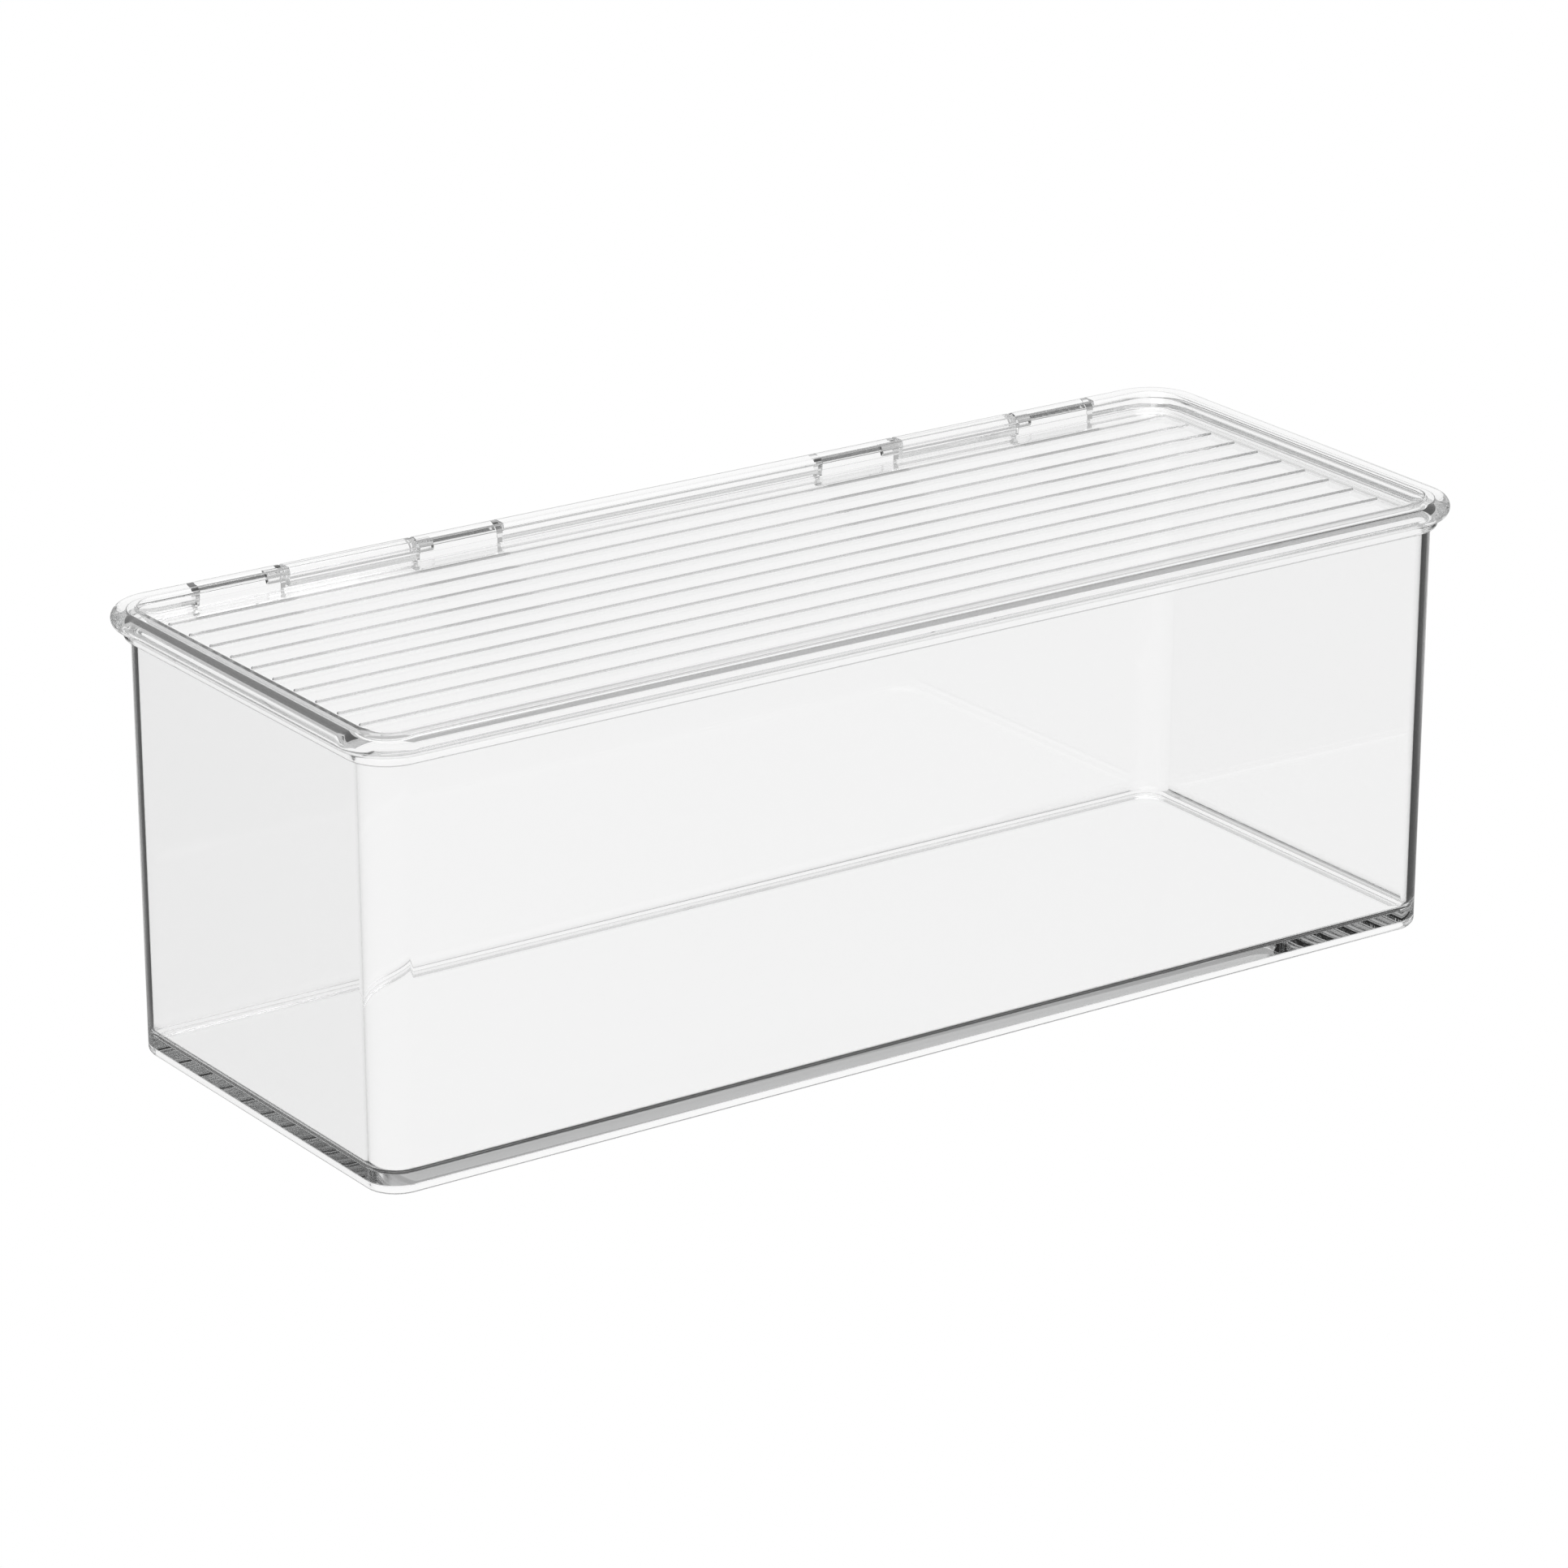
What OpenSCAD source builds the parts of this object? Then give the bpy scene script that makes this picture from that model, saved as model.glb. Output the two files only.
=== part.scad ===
// Clear fridge bin with a hinged lid: a drafted tub, a ribbed lid and two hinge pins.
// Millimetres. Origin at the middle of the base, +X along the bin, +Y towards the hinges, +Z up.

/* [Overall] */
// Length of the closed bin over the lid
overall_l = 356; // [300:1:450]
// Depth of the closed bin over the lid, front to back
overall_w = 140; // [110:1:220]
// Height of the closed bin
overall_h = 126; // [80:1:220]

/* [Tub] */
// Thickness of the tub walls
wall = 2.2; // [1.6:0.1:3]
// Thickness of the tub floor
floor_t = 2.6; // [1.8:0.1:4]
// Height of the foot ring that holds the floor off the shelf
foot_h = 2.2; // [1:0.1:3]
// Width of the foot ring
foot_w = 2.8; // [2.4:0.1:4]
// Slope of the tub walls from the vertical, in degrees
draft = 0.5; // [0:0.1:1]
// Outside radius of the tub's upright corners, at the rim
corner_r = 10.5; // [9:0.5:16]
// Radius of the outside edge around the base
base_round = 2; // [0.5:0.1:2.4]
// Radius inside, where the floor meets the walls
floor_fillet = 3.4; // [1:0.1:4]
// How far the rim flange stands out from the wall
flange_out = 1.9; // [1:0.1:2.4]
// Height of the rim flange
flange_h = 2.6; // [2.5:0.1:6]

/* [Lid] */
// How far the lid's edge stands out beyond the tub wall
lid_overhang = 5.2; // [4.4:0.1:7]
// Radius of the round bead along the lid's edge
bead_r = 3; // [2.4:0.1:3.4]
// Width of the lid's raised rim, measured at its top
rim_w = 7; // [6:0.1:8]
// Width of the sloped step from the rim down to the panel
step_w = 3.8; // [2.5:0.1:6]
// Depth of the panel below the top of the rim
panel_drop = 4.2; // [3:0.1:6]
// Thickness of the lid panel
panel_t = 2; // [1.6:0.1:3]
// Thickness of the rim above its hollow underside
land_t = 2.4; // [1.6:0.1:3]
// Thickness of the sloped step, measured level
step_t = 2.7; // [2:0.1:3]
// Gap between the closed lid and the tub's rim
seat_gap = 0.3; // [0.2:0.1:0.6]
// Width of the flange that lies under the solid part of the lid's rim
seat_w = 0.9; // [0.5:0.1:1.4]

/* [Ribs] */
// Number of grip ribs along the lid panel
rib_count = 11; // [3:1:15]
// Width of a rib
rib_w = 1.6; // [1:0.1:3]
// Height of a rib above the panel
rib_h = 0.6; // [0.4:0.1:1.5]
// Distance from the lid's ends to the rib tips
rib_end_margin = 13.3; // [12:0.1:30]
// Distance from the lid's front edge to the first rib
rib_front_margin = 14.8; // [12:0.1:30]
// Distance from the lid's back edge to the last rib
rib_back_margin = 19; // [12:0.1:35]

/* [Hinges] */
// Distance of each hinge's middle from the lid's end
hinge_inset = 77.5; // [68:0.5:90]
// Gap between the two ears of a hinge
ear_gap = 42; // [20:0.5:48]
// Length of one ear along the bin
ear_l = 26.5; // [12:0.5:28]
// How far the web under an ear reaches down from the tub's rim
web_h = 4.4; // [3:0.1:8]
// How far that web stands out from the tub wall
web_out = 4; // [2:0.1:4.2]
// Gap between an ear's end and the lid's knuckle
knuckle_gap = 1.2; // [0.4:0.1:2]
// Gap between an ear and the sides of its notch in the lid
notch_gap = 0.3; // [0.2:0.1:1]
// Diameter of the hinge pin
pin_d = 2.8; // [2:0.1:3]
// Radial gap between the pin and the knuckle that turns on it
pin_run = 0.06; // [0.03:0.01:0.1]
// Radial gap between the pin and the ears that hold it
pin_hold = 0.02; // [0.01:0.01:0.05]
// Depth of the pin's socket in each ear
pin_seat = 5; // [3:0.5:10]
// Gap between the round ears and the lid's edge in front of them
stop_gap = 0.1; // [0.05:0.05:0.3]

/* [Hidden] */
$fn = 96;
arc_steps = 8;
over = 1;            // how far a cut runs past the solid it cuts
bite = 0.5;          // how far joined solids run into each other

// Corner centres, which the tub and the lid share
centre_x = overall_l / 2 - lid_overhang - corner_r;
centre_y = overall_w / 2 - lid_overhang - corner_r;

// Heights
seat_z = overall_h - 2 * bead_r;
rim_z = seat_z - seat_gap;
panel_z = overall_h - panel_drop;
panel_under_z = panel_z - panel_t;
floor_z = foot_h + floor_t;

// Distances outwards from the line of the corner centres
lid_edge = corner_r + lid_overhang;
bead_mid = lid_edge - bead_r;
mouth_edge = corner_r - wall;
base_edge = corner_r - rim_z * tan(draft);
flange_edge = corner_r + flange_out;
groove_edge = flange_edge - seat_w;
hollow_edge = under_step(overall_h - land_t);

// Hinge axis, in the middle of the lid's bead
hinge_x = overall_l / 2 - hinge_inset;
axis_y = overall_w / 2 - bead_r;
axis_z = overall_h - bead_r;
pin_r = pin_d / 2;
knuckle_l = ear_gap - 2 * knuckle_gap;
pin_l = ear_gap + 2 * pin_seat;
notch_in = bead_r + stop_gap;

rib_pitch = (overall_w - rib_front_margin - rib_back_margin) / (rib_count - 1);

// Points on an arc about [x, z]
function arc(x, z, r, from, to) =
    [for (i = [0:arc_steps]) let (a = from + (to - from) * i / arc_steps) [x + r * cos(a), z + r * sin(a)]];

// Sweeps a section around the rounded rectangle; the section's x runs outwards from the corner centres
module around() {
    for (a = [0:90:270]) {
        along_x = a % 180 == 0;
        out = along_x ? centre_x : centre_y;
        side = along_x ? centre_y : centre_x;
        rotate([0, 0, a]) {
            translate([out, side, 0])
                rotate_extrude(angle = 90) children();
            translate([out, 0, 0])
                rotate([90, 0, 0])
                    linear_extrude(height = 2 * side, center = true) children();
        }
    }
}

// Block between the corner centres, from one height to another
module core(low, high) {
    translate([-centre_x, -centre_y, low]) cube([2 * centre_x, 2 * centre_y, high - low]);
}

// Section of the tub's outside
module tub_section() {
    polygon(concat([[0, 0]],
                   arc(base_edge - base_round, base_round, base_round, -90, 0),
                   [[corner_r, rim_z], [0, rim_z]]));
}

// Section of the space inside the tub
module mouth_section() {
    floor_edge = base_edge - wall + floor_z * tan(draft);
    polygon(concat([[0, floor_z]],
                   arc(floor_edge - floor_fillet, floor_z + floor_fillet, floor_fillet, -90, 0),
                   [[mouth_edge, rim_z], [mouth_edge, rim_z + over], [0, rim_z + over]]));
}

// Section of the recess under the floor, inside the foot ring
module recess_section() {
    translate([0, -over]) square([base_edge - foot_w, foot_h + over]);
}

// Section of the flange around the rim, with a round lower edge
module flange_section() {
    polygon(concat([[corner_r - bite, rim_z - flange_h]],
                   arc(corner_r, rim_z - flange_h + flange_out, flange_out, -90, 0),
                   [[flange_edge, rim_z], [corner_r - bite, rim_z]]));
}

// Section of one hinge ear: a round barrel on a web that runs down the wall
module ear_section() {
    web_foot = rim_z - web_h;
    wall_y = centre_y + corner_r - bite;
    translate([wall_y, web_foot]) square([web_out + bite, axis_z - web_foot]);
    translate([axis_y, axis_z]) circle(r = bead_r);
}

// Extrudes a section in Y and Z along X, centred on x
module along_bin(x, length) {
    translate([x, 0, 0])
        rotate([90, 0, 90])
            linear_extrude(height = length, center = true) children();
}

// Round bar on the hinge axis, centred on x
module axis_bar(x, radius, length) {
    translate([x, axis_y, axis_z])
        rotate([0, 90, 0])
            cylinder(r = radius, h = length, center = true);
}

// The tub: foot ring, floor, drafted walls, rim flange and the four ears that hold the pins
module tub() {
    color([0.86, 0.9, 0.92])
    difference() {
        union() {
            around() tub_section();
            core(0, rim_z);
            around() flange_section();
            for (side = [-1, 1], end = [-1, 1])
                along_bin(side * hinge_x + end * (ear_gap + ear_l) / 2, ear_l) ear_section();
        }
        around() mouth_section();
        core(floor_z, rim_z + over);
        around() recess_section();
        core(-over, foot_h);
        for (side = [-1, 1])
            axis_bar(side * hinge_x, pin_r + pin_hold, pin_l);
    }
}

// Distance out to the underside of the lid's step, at a height
function under_step(z) = lid_edge - rim_w - (overall_h - z) * step_w / panel_drop + step_t;

// Section of the lid: panel edge, sloped step, hollow rim and bead
module lid_section() {
    polygon(concat([[0, panel_under_z],
                    [under_step(panel_under_z), panel_under_z],
                    [hollow_edge, overall_h - land_t],
                    [groove_edge, overall_h - land_t],
                    [groove_edge, seat_z]],
                   arc(bead_mid, axis_z, bead_r, -90, 90),
                   [[lid_edge - rim_w, overall_h],
                    [lid_edge - rim_w - step_w, panel_z],
                    [0, panel_z]]));
}

// One grip rib with round ends
module rib() {
    half_l = overall_l / 2 - rib_end_margin - rib_w / 2;
    translate([-half_l, -rib_w / 2, -bite]) cube([2 * half_l, rib_w, rib_h + bite]);
    for (end = [-1, 1])
        translate([end * half_l, 0, -bite]) cylinder(d = rib_w, h = rib_h + bite);
}

// Knuckle that fills the rim between a hinge's ears and turns on the pin
module knuckle(x) {
    inner_y = centre_y + hollow_edge + bite;
    axis_bar(x, bead_r, knuckle_l);
    translate([x - knuckle_l / 2, inner_y, seat_z])
        cube([knuckle_l, axis_y - inner_y, 2 * bead_r]);
}

// Gap in the lid's rim for the ear at one end of a hinge; end is -1 or 1
module notch(hinge_mid, end) {
    width = ear_l + notch_gap + knuckle_gap;
    middle = hinge_mid + end * (ear_gap + ear_l + notch_gap - knuckle_gap) / 2;
    low = seat_z - over;
    translate([middle - width / 2, axis_y - notch_in, low])
        cube([width, notch_in + bead_r + over, overall_h + over - low]);
}

// The lid: recessed ribbed panel, rim with a round bead, and the two knuckles
module lid() {
    color([0.9, 0.94, 0.96])
    difference() {
        union() {
            around() lid_section();
            core(panel_under_z, panel_z);
            for (i = [0:rib_count - 1])
                translate([0, -overall_w / 2 + rib_front_margin + i * rib_pitch, panel_z]) rib();
            for (side = [-1, 1])
                knuckle(side * hinge_x);
        }
        for (side = [-1, 1], end = [-1, 1])
            notch(side * hinge_x, end);
        for (side = [-1, 1])
            axis_bar(side * hinge_x, pin_r + pin_run, ear_gap);
    }
}

// A plain round hinge pin
module hinge_pin(x) {
    color([0.75, 0.8, 0.82])
    axis_bar(x, pin_r, pin_l);
}

module hinge_pin_left() {
    hinge_pin(-hinge_x);
}

module hinge_pin_right() {
    hinge_pin(hinge_x);
}

tub();
lid();
hinge_pin_left();
hinge_pin_right();
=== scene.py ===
import math

import bmesh
import bpy
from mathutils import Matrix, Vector


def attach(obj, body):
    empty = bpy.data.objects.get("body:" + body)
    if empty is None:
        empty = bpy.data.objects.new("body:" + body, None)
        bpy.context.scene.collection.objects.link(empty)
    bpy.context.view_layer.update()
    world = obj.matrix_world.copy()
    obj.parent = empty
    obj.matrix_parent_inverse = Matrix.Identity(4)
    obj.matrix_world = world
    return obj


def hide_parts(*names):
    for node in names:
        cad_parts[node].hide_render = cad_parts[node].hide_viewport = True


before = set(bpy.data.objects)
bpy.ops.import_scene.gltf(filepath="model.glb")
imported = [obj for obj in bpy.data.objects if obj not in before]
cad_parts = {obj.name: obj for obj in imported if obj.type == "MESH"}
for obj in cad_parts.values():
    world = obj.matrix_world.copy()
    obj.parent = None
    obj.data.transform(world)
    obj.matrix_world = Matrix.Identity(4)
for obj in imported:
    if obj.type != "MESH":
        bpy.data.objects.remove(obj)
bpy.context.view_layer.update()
print("frame loaded")

mm = 0.001  # sizes below are in millimetres, the scene is in metres
sharpAngle = 32  # degrees between faces above which an edge stays crisp
arcSteps = 10  # straight pieces in each rounded corner of a section
scene = bpy.context.scene


def toLinear(code):
    # sRGB hex to the linear colour a socket takes
    parts = [int(code[i:i + 2], 16) / 255 for i in (1, 3, 5)]
    return [c / 12.92 if c <= 0.04045 else ((c + 0.055) / 1.055) ** 2.4 for c in parts] + [1.0]


def addNode(tree, kind, settings={}, inputs={}):
    # one node with its settings; an input given as a socket is linked
    node = tree.nodes.new(kind)
    for name, value in settings.items():
        setattr(node, name, value)
    for name, value in inputs.items():
        if isinstance(value, bpy.types.NodeSocket):
            tree.links.new(value, node.inputs[name])
        else:
            node.inputs[name].default_value = value
    return node


def softenCorners(corners, steps):
    # corners are (across, up, radius), and each radius becomes an arc
    points = []
    for i, (across, up, radius) in enumerate(corners):
        here = Vector((across, up))
        if radius == 0:
            points.append(here)
            continue
        back = (Vector(corners[i - 1][:2]) - here).normalized()
        ahead = (Vector(corners[(i + 1) % len(corners)][:2]) - here).normalized()
        half = back.angle(ahead) / 2
        middle = here + (back + ahead).normalized() * radius / math.sin(half)
        first = here + back * radius / math.tan(half) - middle
        last = here + ahead * radius / math.tan(half) - middle
        turn = first.angle(last)
        for k in range(steps + 1):
            share = k / steps
            spoke = first * math.sin(turn * (1 - share)) + last * math.sin(turn * share)
            points.append(middle + spoke / math.sin(turn))
    return points


def ringAround(bm, out, up, reachX, reachY, steps):
    # a rounded rectangle: corner centres at reachX and reachY, corner radius out
    ring = []
    for corner, (signX, signY) in enumerate(((1, 1), (-1, 1), (-1, -1), (1, -1))):
        for k in range(steps + 1):
            turn = math.pi / 2 * (corner + k / steps)
            x = signX * reachX + out * math.cos(turn)
            y = signY * reachY + out * math.sin(turn)
            ring.append(bm.verts.new((x * mm, y * mm, up * mm)))
    return ring


def skin(bm, rings):
    # quads between neighbouring rings, and a flat face on each end
    for low, high in zip(rings, rings[1:]):
        for i in range(len(low)):
            j = (i + 1) % len(low)
            bm.faces.new((low[i], low[j], high[j], high[i]))
    bm.faces.new(rings[0])
    bm.faces.new(rings[-1])


def sweepAround(bm, section, reachX, reachY, steps):
    skin(bm, [ringAround(bm, out, up, reachX, reachY, steps) for out, up in section])


def runAlong(bm, outline, start, end, edge):
    # an outline in Y and Z carried along X, with its end edges rounded over
    quarter = [(0, 0)]
    if edge:
        quarter = [(edge * (1 - math.cos(a)), edge * (1 - math.sin(a)))
                   for a in [math.pi / 2 * k / 4 for k in range(5)]]
    stations = [(start + along, inset) for along, inset in quarter]
    stations += [(end - along, inset) for along, inset in quarter[::-1]]
    rings = []
    for x, inset in stations:
        rings.append([bm.verts.new((x * mm, y * mm, z * mm)) for y, z in shrink(outline, inset)])
    skin(bm, rings)


def shrink(outline, inset):
    # the outline moved inwards by the same distance all round; very sharp points are held back
    if inset == 0:
        return [(p[0], p[1]) for p in outline]
    count = len(outline)
    area = sum(outline[i][0] * outline[(i + 1) % count][1] - outline[(i + 1) % count][0] * outline[i][1]
               for i in range(count))
    side = 1 if area > 0 else -1
    moved = []
    for i in range(count):
        before = (Vector(outline[i]) - Vector(outline[i - 1])).normalized()
        after = (Vector(outline[(i + 1) % count]) - Vector(outline[i])).normalized()
        normalA = Vector((-before.y, before.x)) * side
        normalB = Vector((-after.y, after.x)) * side
        both = (normalA + normalB).normalized()
        reach = inset / max(0.3, both.dot(normalA))
        moved.append((outline[i][0] + both.x * reach, outline[i][1] + both.y * reach))
    return moved


def circle(y, z, radius, count=48):
    return [(y + radius * math.cos(2 * math.pi * k / count), z + radius * math.sin(2 * math.pi * k / count))
            for k in range(count)]


def block(bm, low, high):
    outline = [(low[1], low[2]), (high[1], low[2]), (high[1], high[2]), (low[1], high[2])]
    runAlong(bm, outline, low[0], high[0], 0)


def finishMesh(bm, name):
    bmesh.ops.remove_doubles(bm, verts=bm.verts, dist=1e-7)
    bmesh.ops.recalc_face_normals(bm, faces=bm.faces)
    mesh = bpy.data.meshes.new(name)
    bm.to_mesh(mesh)
    bm.free()
    piece = bpy.data.objects.new(name, mesh)
    scene.collection.objects.link(piece)
    return piece


def combine(piece, tools, how):
    # joins or cuts with a Boolean modifier, then keeps the result as plain mesh
    step = piece.modifiers.new(how, "BOOLEAN")
    step.operation = how
    step.solver = "EXACT"
    step.object = tools
    shaped = bpy.data.meshes.new_from_object(piece.evaluated_get(bpy.context.evaluated_depsgraph_get()))
    piece.modifiers.clear()
    piece.data = shaped
    bpy.data.objects.remove(tools)


def smoothFaces(piece):
    # flats stay flat and only true corners stay crisp
    piece.data.shade_smooth()
    piece.data.set_sharp_from_angle(angle=math.radians(sharpAngle))
    even = piece.modifiers.new("evenNormals", "WEIGHTED_NORMAL")
    even.keep_sharp = True
    even.weight = 100


# sizes that the tub and the lid share
binSizes = {
    "length": 356, "depth": 140, "height": 126,
    "overhang": 5.2, "corner": 10.5, "bead": 3,
    "hingeX": 100.5, "earGap": 42, "earLength": 26.5,
    "axisY": 67, "axisZ": 123,
    "rimTop": 119.7, "cornerSteps": 48,
}
reachX = binSizes["length"] / 2 - binSizes["overhang"] - binSizes["corner"]
reachY = binSizes["depth"] / 2 - binSizes["overhang"] - binSizes["corner"]


tubSizes = {
    "baseEdge": 9.455, "baseRound": 2, "footHeight": 2.2, "footWidth": 2.8,
    "floorTop": 4.8, "floorFillet": 3.4, "mouthEdge": 8.3, "floorEdge": 7.297,
    "flangeOut": 1.9, "flangeHeight": 2.6, "flangeFlat": 0.4, "smallEdge": 0.35, "webOut": 4,
    "earFoot": 115.3, "earEdge": 0.2, "socket": 1.42, "socketLength": 52,
    "insideStart": 2,  # where the section starts and ends, out from the line of the corner centres
    "draftLean": 0.038,  # how far the drafted wall has come in a few millimetres below the rim
    "footInner": 0.4, "footOuter": 0.3, "webBite": 0.5, "webRound": 0.5,
}


def makeTub():
    t = tubSizes
    flangeFoot = binSizes["rimTop"] - t["flangeHeight"]
    section = softenCorners([
        (t["insideStart"], t["footHeight"], 0),
        (t["baseEdge"] - t["footWidth"], t["footHeight"], t["footInner"]),
        (t["baseEdge"] - t["footWidth"], 0, t["footOuter"]),
        (t["baseEdge"], 0, t["baseRound"]),
        (binSizes["corner"] - t["draftLean"], flangeFoot, t["smallEdge"]),
        (binSizes["corner"] + t["flangeOut"], flangeFoot, t["flangeOut"] - t["flangeFlat"]),
        (binSizes["corner"] + t["flangeOut"], binSizes["rimTop"], t["smallEdge"]),
        (t["mouthEdge"], binSizes["rimTop"], t["smallEdge"]),
        (t["floorEdge"], t["floorTop"], t["floorFillet"]),
        (t["insideStart"], t["floorTop"], 0)], arcSteps)
    bm = bmesh.new()
    sweepAround(bm, section, reachX, reachY, binSizes["cornerSteps"])
    tub = finishMesh(bm, "tubShell")

    ears = bmesh.new()
    y, z, r = binSizes["axisY"], binSizes["axisZ"], binSizes["bead"]
    webBack = reachY + binSizes["corner"] + t["webOut"]
    webFront = reachY + binSizes["corner"] - t["webBite"]
    join = math.sqrt(r * r - (y - webBack) ** 2)
    earOutline = [
        Vector((webFront, z - math.sqrt(r * r - (y - webFront) ** 2))),
        Vector((webFront, t["earFoot"]))]
    earOutline += softenCorners([
        (webFront, t["earFoot"], 0),
        (webBack, t["earFoot"], t["webRound"]),
        (webBack, z - join, 0)], 6)[1:]
    start = math.atan2(-join, webBack - y)
    finish = math.atan2(earOutline[0].y - z, webFront - y) + 2 * math.pi
    earOutline += [Vector((y + r * math.cos(a), z + r * math.sin(a)))
                   for a in [start + (finish - start) * k / 40 for k in range(1, 40)]]
    for side in (-1, 1):
        for end in (-1, 1):
            middle = side * binSizes["hingeX"] + end * (binSizes["earGap"] + binSizes["earLength"]) / 2
            runAlong(ears, earOutline, middle - binSizes["earLength"] / 2,
                     middle + binSizes["earLength"] / 2, t["earEdge"])
    combine(tub, finishMesh(ears, "ears"), "UNION")

    sockets = bmesh.new()
    for side in (-1, 1):
        runAlong(sockets, circle(y, z, t["socket"]), side * binSizes["hingeX"] - t["socketLength"] / 2,
                 side * binSizes["hingeX"] + t["socketLength"] / 2, 0)
    combine(tub, finishMesh(sockets, "sockets"), "DIFFERENCE")
    smoothFaces(tub)
    return tub


lidSizes = {
    "edge": 15.7, "rimWidth": 7, "stepWidth": 3.8, "panelTop": 121.8, "panelUnder": 119.8,
    "grooveEdge": 11.5, "grooveTop": 123.6, "underTop": 9.23, "underFoot": 5.79,
    "seat": 120, "smallEdge": 0.3, "rimEdge": 0.8, "stepFoot": 1.2,
    "ribCount": 11, "ribWidth": 1.6, "ribHeight": 0.6, "ribReach": 163.9,
    "ribFront": 14.8, "ribBack": 19,
    "ribRoot": 0.4,  # how far a rib reaches down into the panel
    "ribFullness": 0.8,  # below 1 a rib is fuller than a half ellipse
    "knuckleLength": 39.6, "notchIn": 3.1, "notchWidth": 28.0, "notchShift": 33.8, "bore": 1.46,
    "insideStart": 1, "hollowRound": 0.5, "hollowFoot": 0.8,
    "knuckleBite": 0.5, "knuckleEdge": 0.2, "cutPast": 1,
    "seamSlack": 0.01,  # keeps two arcs that meet from sharing a point
}


def makeLid():
    l = lidSizes
    y, z, r = binSizes["axisY"], binSizes["axisZ"], binSizes["bead"]
    top = binSizes["height"]
    bead = r - l["seamSlack"]
    section = softenCorners([
        (l["insideStart"], l["panelTop"], 0),
        (l["edge"] - l["rimWidth"] - l["stepWidth"], l["panelTop"], l["stepFoot"]),
        (l["edge"] - l["rimWidth"], top, l["rimEdge"]),
        (l["edge"], top, bead),
        (l["edge"], l["seat"], bead),
        (l["grooveEdge"], l["seat"], l["smallEdge"]),
        (l["grooveEdge"], l["grooveTop"], l["smallEdge"]),
        (l["underTop"], l["grooveTop"], l["hollowRound"]),
        (l["underFoot"], l["panelUnder"], l["hollowFoot"]),
        (l["insideStart"], l["panelUnder"], 0)], arcSteps)
    bm = bmesh.new()
    sweepAround(bm, section, reachX, reachY, binSizes["cornerSteps"])
    lid = finishMesh(bm, "lidShell")

    # grip ribs: a round-topped bar with domed ends
    ribs = bmesh.new()
    pitch = (binSizes["depth"] - l["ribFront"] - l["ribBack"]) / (l["ribCount"] - 1)
    ribSection = [(l["ribWidth"] / 2, -l["ribRoot"])]
    for k in range(9):
        a = math.pi / 2 * k / 9
        reach = l["ribWidth"] / 2 * math.cos(a) ** l["ribFullness"]
        ribSection.append((reach, l["ribHeight"] * math.sin(a)))
    for i in range(l["ribCount"]):
        ribY = -binSizes["depth"] / 2 + l["ribFront"] + i * pitch
        rings = []
        for out, up in ribSection:
            ring = []
            for end in (1, -1):
                for k in range(17):
                    a = math.pi * (k / 16 - 0.5) + (0 if end == 1 else math.pi)
                    ringX = end * l["ribReach"] + out * math.cos(a)
                    ringY = ribY + out * math.sin(a)
                    ring.append(ribs.verts.new((ringX * mm, ringY * mm, (l["panelTop"] + up) * mm)))
            rings.append(ring)
        skin(ribs, rings)
    combine(lid, finishMesh(ribs, "ribs"), "UNION")

    knuckles = bmesh.new()
    half = l["knuckleLength"] / 2
    inner = reachY + l["underTop"] + l["knuckleBite"]
    outline = softenCorners([
        (inner, l["seat"], l["knuckleEdge"]),
        (y + r, l["seat"], bead),
        (y + r, z + r, bead),
        (inner, z + r, l["knuckleEdge"])], arcSteps)
    for side in (-1, 1):
        runAlong(knuckles, outline, side * binSizes["hingeX"] - half, side * binSizes["hingeX"] + half, 0)
    combine(lid, finishMesh(knuckles, "knuckles"), "UNION")

    notches = bmesh.new()
    for side in (-1, 1):
        for end in (-1, 1):
            middle = side * binSizes["hingeX"] + end * l["notchShift"]
            block(notches, (middle - l["notchWidth"] / 2, y - l["notchIn"], l["seat"] - l["cutPast"]),
                  (middle + l["notchWidth"] / 2, y + r + l["cutPast"], top + l["cutPast"]))
    combine(lid, finishMesh(notches, "notches"), "DIFFERENCE")

    bores = bmesh.new()
    for side in (-1, 1):
        runAlong(bores, circle(y, z, l["bore"]), side * binSizes["hingeX"] - binSizes["earGap"] / 2,
                 side * binSizes["hingeX"] + binSizes["earGap"] / 2, 0)
    combine(lid, finishMesh(bores, "bores"), "DIFFERENCE")
    smoothFaces(lid)
    return lid


pinSizes = {"radius": 1.4, "length": 52, "endRound": 0.3}


def makePin(name, middle):
    bm = bmesh.new()
    half = pinSizes["length"] / 2
    outline = circle(binSizes["axisY"], binSizes["axisZ"], pinSizes["radius"])
    runAlong(bm, outline, middle - half, middle + half, pinSizes["endRound"])
    pin = finishMesh(bm, name)
    smoothFaces(pin)
    return pin


tub = makeTub()
print("tub made", len(tub.data.polygons))
lid = makeLid()
print("lid made", len(lid.data.polygons))
pinLeft = makePin("hingePinLeft", -binSizes["hingeX"])
pinRight = makePin("hingePinRight", binSizes["hingeX"])
print("pins made")


# acrylic, injection moulded in a polished tool: water clear and glossy, with a slow ripple
# where it flowed and a few hairline rubs from handling
clearPlastic = {
    "tint": "#FFFFFF", "depthTint": "#D8DADA", "depthDensity": 2.0, "ior": 1.49,
    "roughness": 0.0, "rubRoughness": 0.03, "flowLength": 38, "flowHeight": 0.006,
    "rubTurn": (0.35, 0.5, 0.6), "rubFrom": 0.74, "rubTo": 0.82,
    "rubSpacing": 0.9, "rubLength": 60,  # drawn coarser than real rubs, so that they show
}


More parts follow.
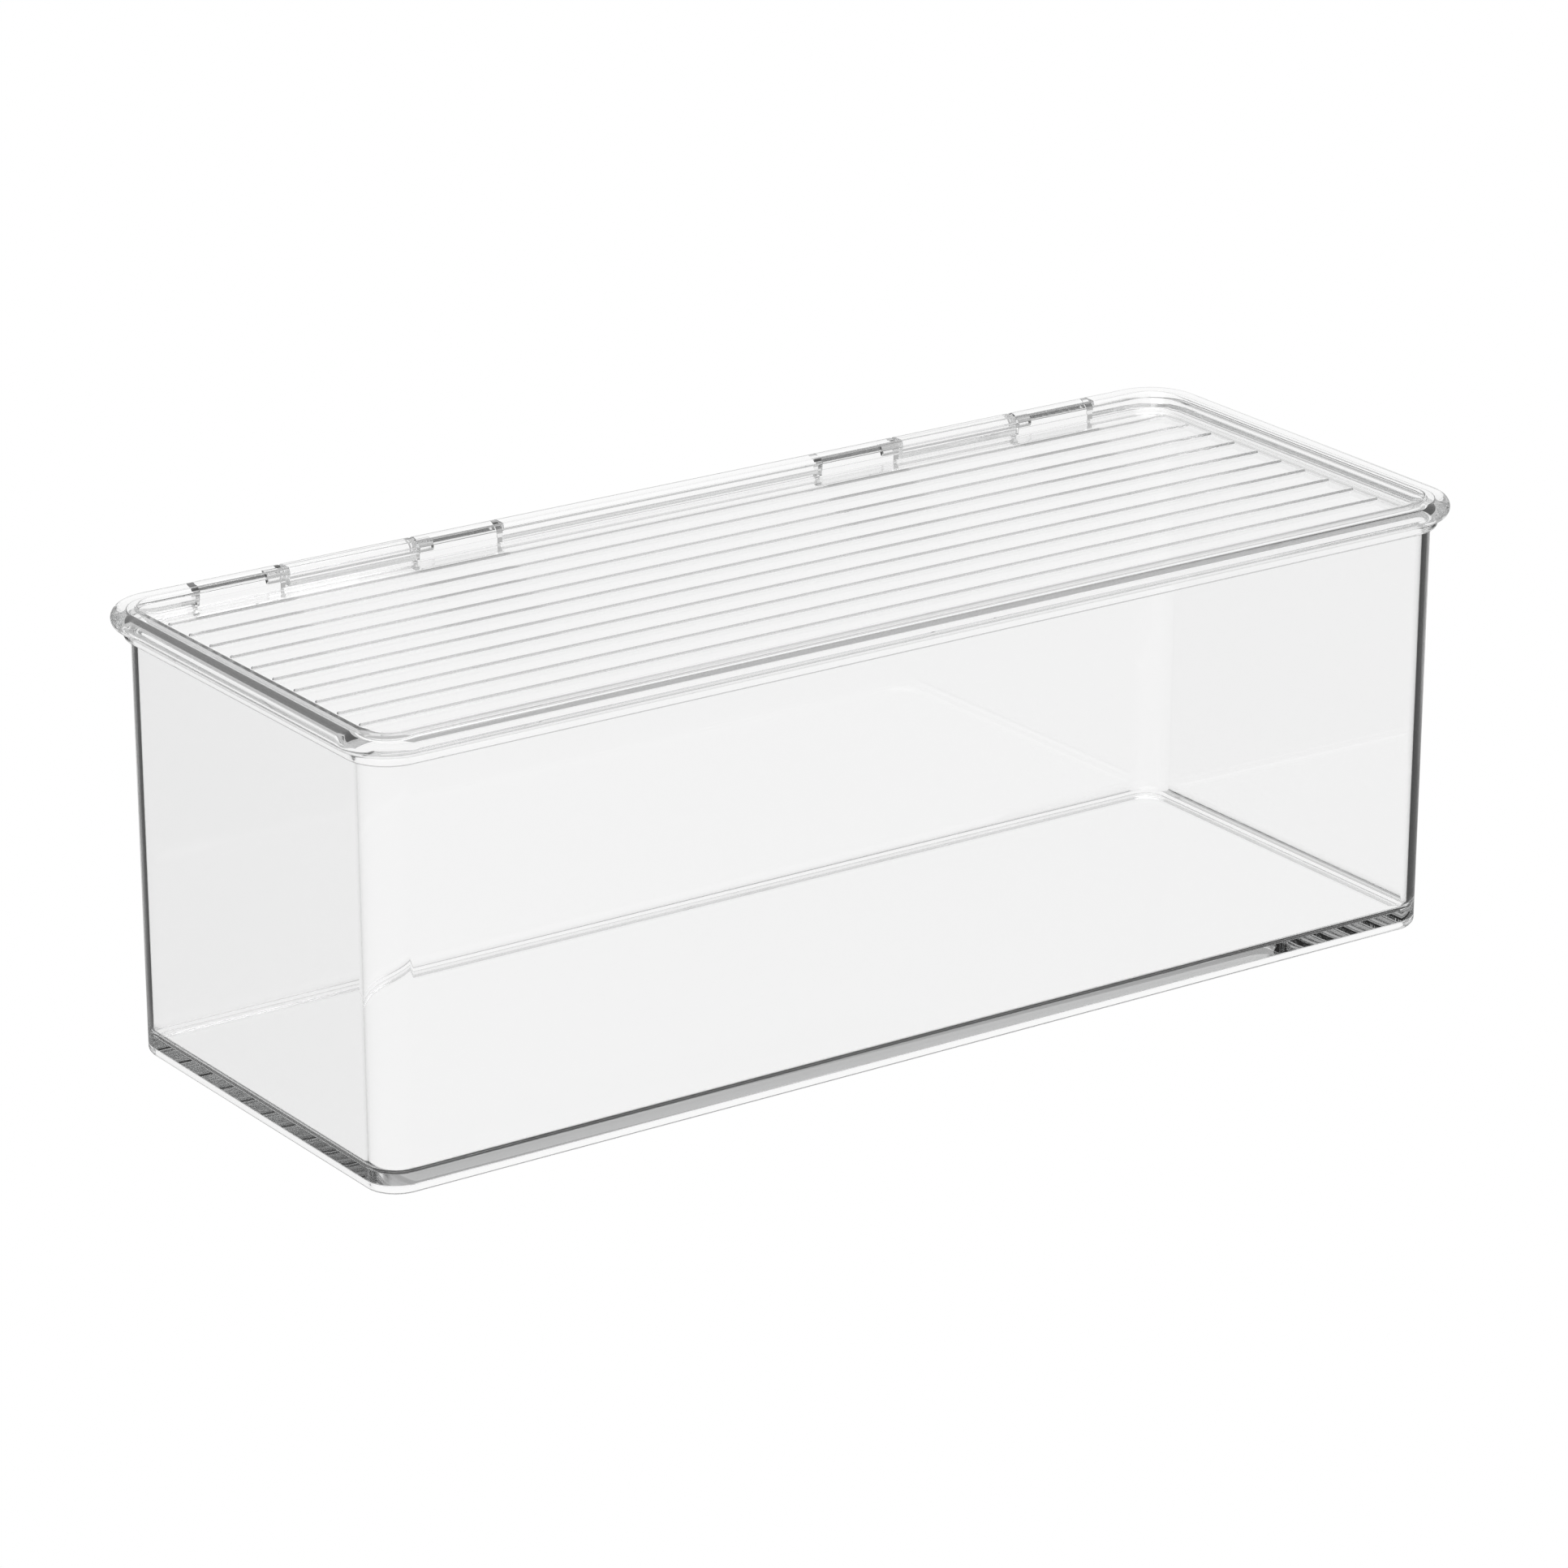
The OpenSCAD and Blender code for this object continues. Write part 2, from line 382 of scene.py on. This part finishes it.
def mouldedAcrylic(name, changes={}):
    m = dict(clearPlastic, **changes)
    material = bpy.data.materials.new(name)
    material.use_nodes = True
    tree = material.node_tree
    tree.nodes.clear()
    place = addNode(tree, "ShaderNodeTexCoord")
    # slow ripple of the melt, one wave every flowLength mm
    flow = addNode(tree, "ShaderNodeTexNoise", {}, {
        "Vector": place.outputs["Object"], "Scale": 1 / (m["flowLength"] * mm),
        "Detail": 1.5, "Roughness": 0.4})
    # hairline rubs: noise stretched thin, only its peaks count
    stretch = addNode(tree, "ShaderNodeMapping", {}, {
        "Vector": place.outputs["Object"], "Rotation": m["rubTurn"],
        "Scale": (1 / (m["rubLength"] * mm), 1 / (m["rubSpacing"] * mm), 1 / (m["rubSpacing"] * mm))})
    rub = addNode(tree, "ShaderNodeTexNoise", {}, {
        "Vector": stretch.outputs["Vector"], "Scale": 1.0, "Detail": 2.0})
    rubLines = addNode(tree, "ShaderNodeMapRange", {}, {
        "Value": rub.outputs["Fac"], "From Min": m["rubFrom"], "From Max": m["rubTo"],
        "To Min": m["roughness"], "To Max": m["rubRoughness"]})
    bump = addNode(tree, "ShaderNodeBump", {}, {
        "Height": flow.outputs["Fac"], "Strength": 1.0, "Distance": m["flowHeight"] * mm})
    plastic = addNode(tree, "ShaderNodeBsdfPrincipled", {}, {
        "Base Color": toLinear(m["tint"]), "IOR": m["ior"], "Transmission Weight": 1.0,
        "Roughness": rubLines.outputs["Result"], "Normal": bump.outputs["Normal"]})
    depth = addNode(tree, "ShaderNodeVolumeAbsorption", {}, {
        "Color": toLinear(m["depthTint"]), "Density": m["depthDensity"]})
    addNode(tree, "ShaderNodeOutputMaterial", {}, {
        "Surface": plastic.outputs["BSDF"], "Volume": depth.outputs["Volume"]})
    return material


tub.data.materials.append(mouldedAcrylic("acrylicMouldedTub"))
lid.data.materials.append(mouldedAcrylic("acrylicMouldedLid", {"flowLength": 30}))
pinPlastic = mouldedAcrylic("acrylicMouldedPin", {
    "roughness": 0.03, "rubRoughness": 0.1, "rubSpacing": 0.5})
pinLeft.data.materials.append(pinPlastic)
pinRight.data.materials.append(pinPlastic)
print("materials made")

for piece, body, node, slot in (
        (tub, "tub", "tub", "tub_plastic"),
        (lid, "lid", "lid", "lid_plastic"),
        (pinLeft, "tub", "hinge_pin_left", "pin_plastic"),
        (pinRight, "tub", "hinge_pin_right", "pin_plastic")):
    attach(piece, body)
    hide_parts(node)


studio = {
    "floorHalf": 14000, "floorDrop": 0.2,
    "backdropHeading": 34.7, "backdropHalf": 24, "backdropSoft": 12,  # degrees
    "backdropTop": 0.34, "backdropFade": 0.07,  # as the sine of the height angle
    "ceilingFrom": 0.8, "ceilingTo": 0.92,
    # painted light on the table: the strip glows for rays turned in the plastic, and outside it the table
    # is painted dark
    "stripHalf": 150, "stripEnd": 200,  # the lit strip of table fades out between these, to each side
    "stripFrom": 63, "brightFrom": 90, "brightTo": 150,  # and grows brighter behind the bin
    "white": 1.0, "backdrop": 1.0, "ceiling": 0.9, "room": 0.5, "paintedStripLevel": 0.42, "dark": 0.05,
    "roomMirror": 0.88, "floorMirror": 0.45,  # mirrored on the outside, or past more than three surfaces
    "softboxSize": (1.4, 0.9), "softboxHeight": 1.5, "softboxPower": 6,
}


def lightByPath(tree, mirroredLevel, firstMirror):
    # straight through the bin the set is white, and a ray turned inside the plastic finds
    # the backdrop or the dark room; this is given and isn't how real light behaves
    path = addNode(tree, "ShaderNodeLightPath")
    turned = addNode(tree, "ShaderNodeMath", {"operation": "GREATER_THAN"}, {
        0: path.outputs["Glossy Depth"], 1: 0.5})
    inside = addNode(tree, "ShaderNodeMath", {"operation": "GREATER_THAN"}, {
        0: path.outputs["Transmission Depth"], 1: 0.5})
    outer = addNode(tree, "ShaderNodeMath", {"operation": "GREATER_THAN"}, {
        0: path.outputs["Transmission Depth"], 1: 3.5})
    narrow = addNode(tree, "ShaderNodeMath", {"operation": "SUBTRACT"}, {
        0: inside.outputs[0], 1: outer.outputs[0]})
    mirror = addNode(tree, "ShaderNodeMix", {}, {
        "Factor": narrow.outputs[0], "A": firstMirror, "B": mirroredLevel})
    level = addNode(tree, "ShaderNodeMix", {}, {
        "Factor": turned.outputs[0], "A": studio["white"], "B": mirror.outputs["Result"]})
    return level.outputs["Result"]


# a table that glows even white straight on, with painted light and shade for rays turned in the plastic: a
# painted lit strip behind the bin, painted dark around it; a backdrop behind it, in a dimmer room
bm = bmesh.new()
half = studio["floorHalf"]
bm.faces.new([bm.verts.new((x * mm, y * mm, -studio["floorDrop"] * mm))
              for x, y in ((-half, -half), (half, -half), (half, half), (-half, half))])
floor = finishMesh(bm, "floor")
heading = math.radians(studio["backdropHeading"])
material = bpy.data.materials.new("paintedStripTable")
material.use_nodes = True
tree = material.node_tree
tree.nodes.clear()
place = addNode(tree, "ShaderNodeTexCoord")
across = addNode(tree, "ShaderNodeVectorMath", {"operation": "DOT_PRODUCT"}, {
    0: place.outputs["Object"], 1: (math.cos(heading), -math.sin(heading), 0)})
offAxis = addNode(tree, "ShaderNodeMath", {"operation": "ABSOLUTE"}, {0: across.outputs["Value"]})
strip = addNode(tree, "ShaderNodeMapRange", {"interpolation_type": "SMOOTHSTEP"}, {
    "Value": offAxis.outputs[0], "From Min": studio["stripHalf"] * mm, "From Max": studio["stripEnd"] * mm,
    "To Min": 1.0, "To Max": 0.0})
parts = addNode(tree, "ShaderNodeSeparateXYZ", {}, {"Vector": place.outputs["Object"]})
behind = addNode(tree, "ShaderNodeMath", {"operation": "GREATER_THAN"}, {
    0: parts.outputs["Y"], 1: studio["stripFrom"] * mm})
further = addNode(tree, "ShaderNodeMapRange", {"interpolation_type": "SMOOTHSTEP"}, {
    "Value": parts.outputs["Y"],
    "From Min": studio["brightFrom"] * mm, "From Max": studio["brightTo"] * mm,
    "To Min": studio["paintedStripLevel"], "To Max": studio["backdrop"]})
# painted light: the table's strip glows for turned rays, grows brighter behind the bin, and is painted dark
# elsewhere
paintedLightStrip = addNode(tree, "ShaderNodeMath", {"operation": "MULTIPLY"}, {
    0: strip.outputs["Result"], 1: behind.outputs[0]})
mirrored = addNode(tree, "ShaderNodeMapRange", {}, {
    "Value": paintedLightStrip.outputs[0], "To Min": studio["dark"], "To Max": further.outputs["Result"]})
glow = addNode(tree, "ShaderNodeEmission", {}, {
    "Color": toLinear("#FFFFFF"),
    "Strength": lightByPath(tree, mirrored.outputs["Result"], studio["floorMirror"])})
addNode(tree, "ShaderNodeOutputMaterial", {}, {"Surface": glow.outputs["Emission"]})
floor.data.materials.append(material)

world = bpy.data.worlds.new("softStudio")
scene.world = world
world.use_nodes = True
tree = world.node_tree
tree.nodes.clear()
place = addNode(tree, "ShaderNodeTexCoord")
parts = addNode(tree, "ShaderNodeSeparateXYZ", {}, {"Vector": place.outputs["Generated"]})
level = addNode(tree, "ShaderNodeCombineXYZ", {}, {
    "X": parts.outputs["X"], "Y": parts.outputs["Y"], "Z": 0.0})
flat = addNode(tree, "ShaderNodeVectorMath", {"operation": "NORMALIZE"}, {0: level.outputs["Vector"]})
facing = addNode(tree, "ShaderNodeVectorMath", {"operation": "DOT_PRODUCT"}, {
    0: flat.outputs["Vector"], 1: (math.sin(heading), math.cos(heading), 0)})
backdrop = addNode(tree, "ShaderNodeMapRange", {"interpolation_type": "SMOOTHSTEP"}, {
    "Value": facing.outputs["Value"], "To Min": studio["room"], "To Max": studio["backdrop"],
    "From Min": math.cos(math.radians(studio["backdropHalf"] + studio["backdropSoft"])),
    "From Max": math.cos(math.radians(studio["backdropHalf"]))})
ceiling = addNode(tree, "ShaderNodeMapRange", {"interpolation_type": "SMOOTHSTEP"}, {
    "Value": parts.outputs["Z"], "From Min": studio["ceilingFrom"], "From Max": studio["ceilingTo"],
    "To Min": 0.0, "To Max": studio["ceiling"]})
below = addNode(tree, "ShaderNodeMapRange", {"interpolation_type": "SMOOTHSTEP"}, {
    "Value": parts.outputs["Z"],
    "From Min": studio["backdropTop"] - studio["backdropFade"],
    "From Max": studio["backdropTop"] + studio["backdropFade"],
    "To Min": 1.0, "To Max": studio["room"]})
screen = addNode(tree, "ShaderNodeMath", {"operation": "MULTIPLY"}, {
    0: backdrop.outputs["Result"], 1: below.outputs["Result"]})
both = addNode(tree, "ShaderNodeMath", {"operation": "MAXIMUM"}, {
    0: screen.outputs[0], 1: ceiling.outputs["Result"]})
sky = addNode(tree, "ShaderNodeBackground", {}, {
    "Color": toLinear("#FFFFFF"), "Strength": lightByPath(tree, both.outputs[0], studio["roomMirror"])})
addNode(tree, "ShaderNodeOutputWorld", {}, {"Surface": sky.outputs["Background"]})

softbox = bpy.data.lights.new("topSoftbox", "AREA")
softbox.shape = "RECTANGLE"
softbox.size, softbox.size_y = studio["softboxSize"]
softbox.energy = studio["softboxPower"]
lamp = bpy.data.objects.new("topSoftbox", softbox)
lamp.location = (0, 0, studio["softboxHeight"])
scene.collection.objects.link(lamp)

scene.view_settings.view_transform = "Standard"
# thin clear sheets guide light a long way, so the bounces run far
scene.cycles.max_bounces = 128
scene.cycles.transmission_bounces = 128
scene.cycles.glossy_bounces = 96
scene.cycles.transparent_max_bounces = 16
print("studio made")


# long lens, seen from the front left and a little above
shot = {
    "lens": 157.96, "heading": 34.724, "down": 20.044,
    "distance": 1870, "right": 3.324, "lower": -4.112,
}
turn, dip = math.radians(shot["heading"]), math.radians(shot["down"])
rightward = Vector((math.cos(turn), -math.sin(turn), 0))
ahead = Vector((math.sin(turn) * math.cos(dip), math.cos(turn) * math.cos(dip), -math.sin(dip)))
downward = ahead.cross(rightward)
data = bpy.data.cameras.new("productCamera")
data.lens = shot["lens"]
data.sensor_width = 36
data.clip_end = 100
camera = bpy.data.objects.new("productCamera", data)
middle = Vector((0, 0, binSizes["height"] / 2))
camera.location = (middle - rightward * shot["right"] - downward * shot["lower"]
                   - ahead * shot["distance"]) * mm
camera.rotation_euler = (math.pi / 2 - dip, 0, -turn)
scene.collection.objects.link(camera)
scene.camera = camera
